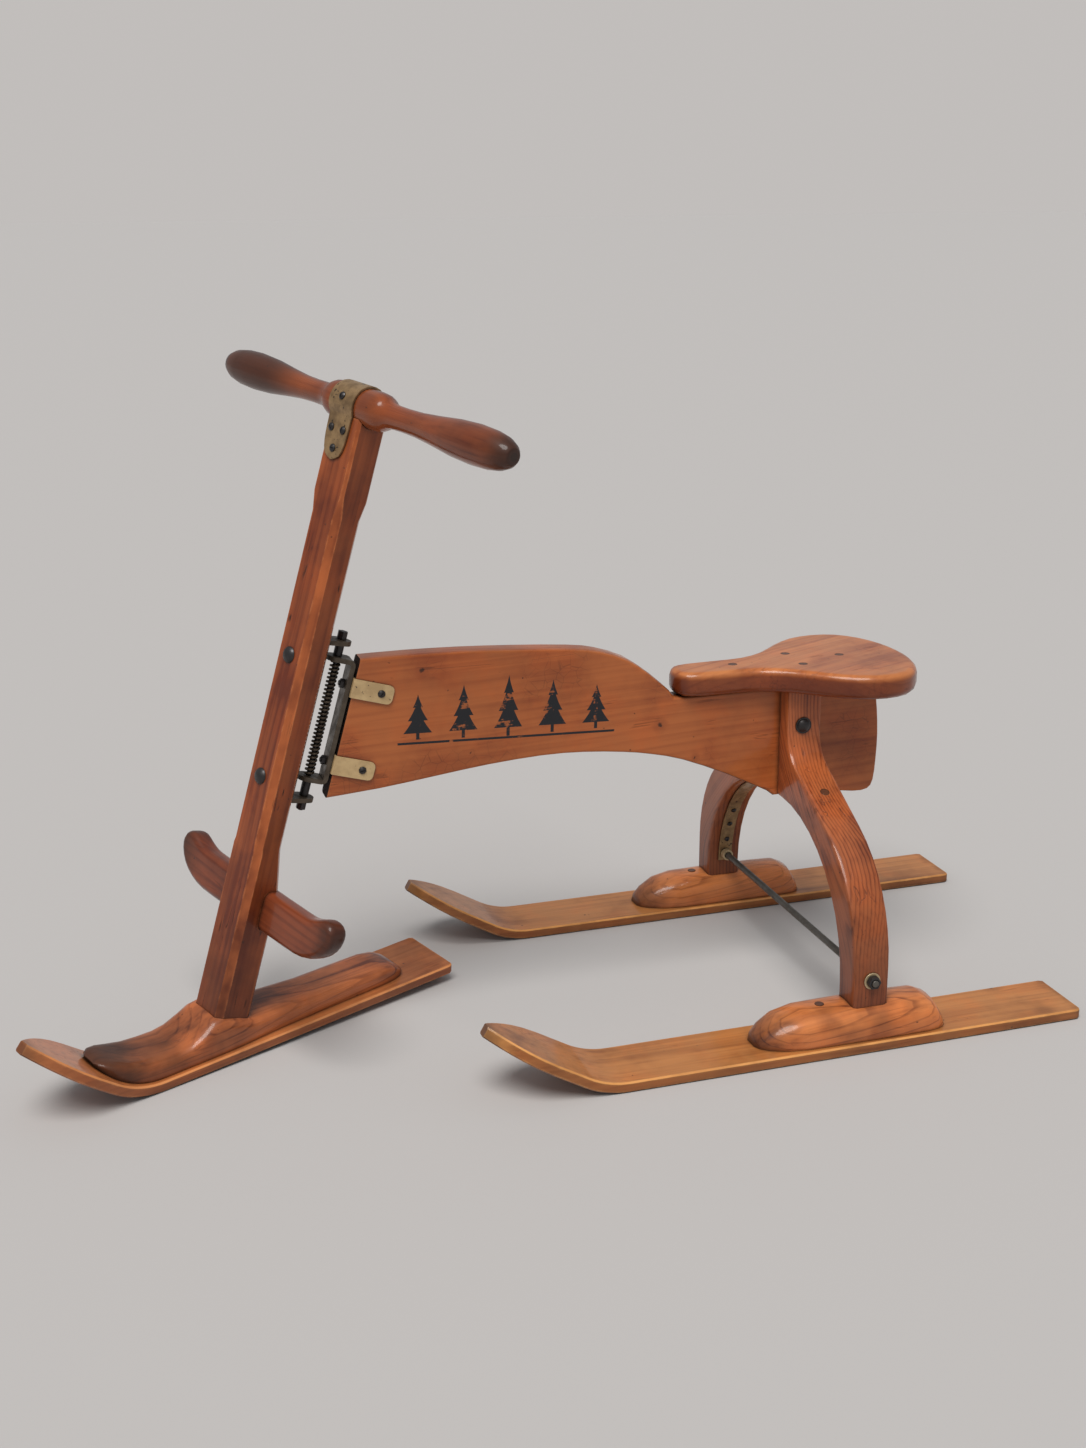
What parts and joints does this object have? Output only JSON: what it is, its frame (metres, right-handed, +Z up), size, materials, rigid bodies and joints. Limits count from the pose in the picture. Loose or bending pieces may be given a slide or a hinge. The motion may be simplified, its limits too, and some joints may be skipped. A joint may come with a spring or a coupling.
{
  "type": "snow tricycle",
  "caption": "Wooden snow tricycle: a curved beam with a saddle seat on arched legs and skis, steered by a handlebar and footrest post on a front ski.",
  "frame": {"origin": "middle of the footprint on the floor", "axes": "+X forward, +Y to the rider's left, +Z up; the steering is stored turned 26 degrees to the left"},
  "size_m": [1.193, 0.48, 0.7253],
  "materials": {
    "orange_pine": "varnished",
    "red_pine": "varnished",
    "golden_pine": "varnished, worn",
    "plug_wood": "end grain",
    "brass": "dull",
    "cream_paint": "dull",
    "grey_steel": "dull",
    "black_steel": "dull",
    "worn_steel": "tarnished"
  },
  "bodies": {
    "rear_frame": {"beam": "orange_pine", "seat": "orange_pine", "left_leg": "red_pine", "right_leg": "red_pine", "arch_strap": "brass", "tie_rod": "grey_steel", "left_rod_washer": "brass", "right_rod_washer": "brass", "left_rod_nut": "black_steel", "right_rod_nut": "black_steel", "left_rod_collar": "brass", "right_rod_collar": "brass", "leg_bolt": "black_steel", "leg_bolt_nut": "black_steel", "left_leg_washer": "grey_steel", "right_leg_washer": "grey_steel", "left_leg_dowel": "plug_wood", "right_leg_dowel": "plug_wood", "front_seat_plug": "plug_wood", "rear_seat_plug": "plug_wood", "left_seat_plug": "plug_wood", "right_seat_plug": "plug_wood", "left_rear_block": "red_pine", "right_rear_block": "red_pine", "left_block_plug": "plug_wood", "right_block_plug": "plug_wood", "left_rear_ski": "golden_pine", "right_rear_ski": "golden_pine", "beam_hinge_bracket": "worn_steel", "upper_beam_clip": "cream_paint", "lower_beam_clip": "cream_paint", "upper_clip_stud": "grey_steel", "lower_clip_stud": "grey_steel", "upper_clip_nut": "black_steel", "lower_clip_nut": "black_steel", "upper_left_clip_screw": "grey_steel", "upper_right_clip_screw": "grey_steel", "lower_left_clip_screw": "grey_steel", "lower_right_clip_screw": "grey_steel", "hinge_spring": "worn_steel"},
    "steering": {"steering_post": "red_pine", "post_hinge_bracket": "worn_steel", "hinge_pin": "black_steel", "hinge_pin_nut": "black_steel", "upper_hinge_sleeve": "grey_steel", "lower_hinge_sleeve": "grey_steel", "upper_carriage_bolt": "black_steel", "lower_carriage_bolt": "black_steel", "upper_carriage_nut": "black_steel", "lower_carriage_nut": "black_steel", "handlebar": "red_pine", "clamp_strap": "brass", "left_strap_screw": "grey_steel", "right_strap_screw": "grey_steel", "low_strap_screw": "grey_steel", "bead_strap_screw": "grey_steel", "footrest_bar": "red_pine", "front_block": "red_pine", "front_ski": "golden_pine"}
  },
  "joints": [
    {"name": "steering_hinge", "type": "hinge", "parent": "rear_frame", "child": "steering", "pos_m": [0.26062, 0, 0.35584], "axis": [-0.274, 0, 0.9617], "range_deg": [-66, 14]}
  ]
}
